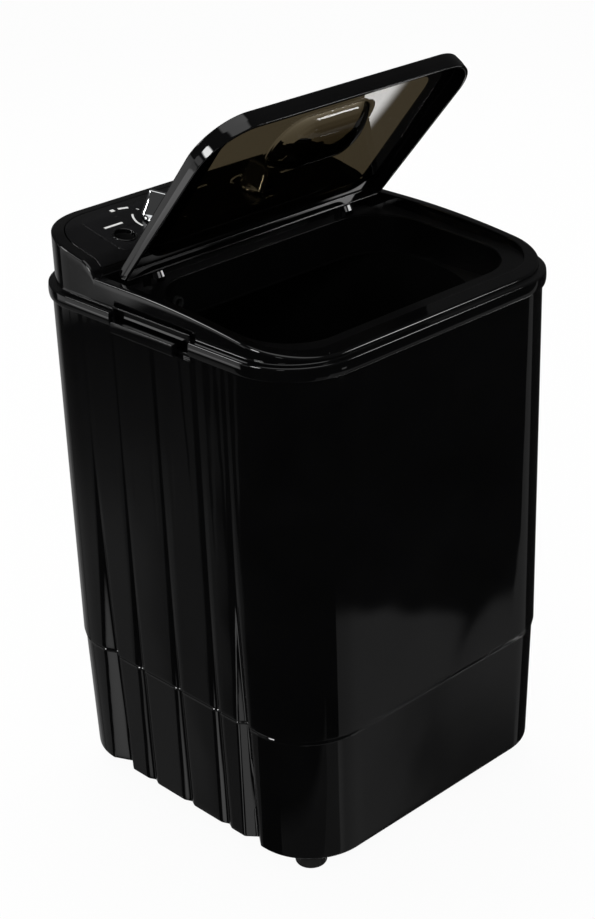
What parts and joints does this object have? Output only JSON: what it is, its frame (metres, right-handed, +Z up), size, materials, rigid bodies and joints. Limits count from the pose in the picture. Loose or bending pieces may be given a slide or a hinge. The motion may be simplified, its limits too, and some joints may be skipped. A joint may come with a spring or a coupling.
{
  "type": "washing machine",
  "caption": "Small top-loading washing machine with one tub: smoky hinged lid, rear console with two dials, side handles, ribbed round-cornered cabinet.",
  "frame": {"origin": "on the floor under the middle of the body, its rim band measured side to side and front to back", "axes": "+Z up, front of the machine towards -Y, console at +Y, lid hinge axis along X"},
  "size_m": [0.36, 0.36, 0.7001],
  "materials": {
    "shell_black": "glossy moulded plastic",
    "plate_black": "printed glossy sheet",
    "smoky": "clear smoky plastic",
    "chromed": "bright plated",
    "tub_black": "smooth black plastic",
    "part_black": "plain black plastic",
    "part_ivory": "plain ivory plastic",
    "steel": "turned and plated steel",
    "pressed_steel": "coated sheet steel",
    "alloy": "cast alloy",
    "black_rubber": "moulded rubber"
  },
  "bodies": {
    "body": {"top_frame": "shell_black", "control_panel": "shell_black", "dial_plate": "plate_black", "wash_timer": "part_ivory", "selector_switch": "part_ivory", "water_inlet": "part_black", "hinge_pin_left": "steel", "hinge_pin_right": "steel", "cabinet": "shell_black", "base": "shell_black", "side_handle_left": "shell_black", "side_handle_right": "shell_black", "wash_tub": "tub_black", "bearing_housing": "alloy", "upper_bearing": "steel", "lower_bearing": "steel", "shaft_seal": "black_rubber", "drive_belt": "black_rubber", "motor": "pressed_steel", "motor_bracket": "pressed_steel", "motor_screws": "steel", "bracket_screws": "steel", "tub_screws": "steel", "frame_screws": "steel", "bottom_cover": "part_black", "bottom_cover_screws": "steel", "capacitor": "part_ivory", "capacitor_clip": "steel", "terminal_block": "part_ivory", "wiring_harness": "black_rubber", "cord_gland": "black_rubber", "drain_pipe": "part_black", "foot_front_left": "black_rubber", "foot_front_right": "black_rubber", "foot_rear_left": "black_rubber", "foot_rear_right": "black_rubber", "foot_screws": "steel"},
    "lid": {"lid_frame": "shell_black", "lid_window": "smoky"},
    "timer_dial": {"wash_timer_knob": "chromed", "timer_shaft": "steel"},
    "selector_dial": {"selector_knob": "chromed", "selector_shaft": "steel"},
    "agitator": {"pulsator": "tub_black", "pulsator_screw": "steel", "drive_shaft": "steel", "drive_pulley": "alloy", "shaft_nut": "steel"},
    "rotor": {"motor_shaft": "steel", "motor_pulley": "alloy"}
  },
  "joints": [
    {"name": "lid_hinge", "type": "hinge", "parent": "body", "child": "lid", "pos_m": [0, 0.0577, 0.5314], "axis": [-1, 0, 0], "range_deg": [-51.8, 54]},
    {"name": "timer_turn", "type": "hinge", "parent": "body", "child": "timer_dial", "pos_m": [-0.0605, 0.1155, 0.55449], "axis": [0, 0.2173, -0.9761], "range_deg": [0, 330]},
    {"name": "selector_turn", "type": "hinge", "parent": "body", "child": "selector_dial", "pos_m": [0.0605, 0.1155, 0.55449], "axis": [0, 0.2173, -0.9761], "range_deg": [-45, 45]},
    {"name": "agitator_spin", "type": "hinge", "parent": "body", "child": "agitator", "pos_m": [0, -0.022, 0.1], "axis": [0, 0, 1], "continuous": true},
    {"name": "rotor_spin", "type": "hinge", "parent": "body", "child": "rotor", "pos_m": [0, 0.095, 0.06], "axis": [0, 0, 1], "continuous": true}
  ],
  "couplings": [
    {"joint": "rotor_spin", "follows": "agitator_spin", "ratio": 4.0405}
  ]
}
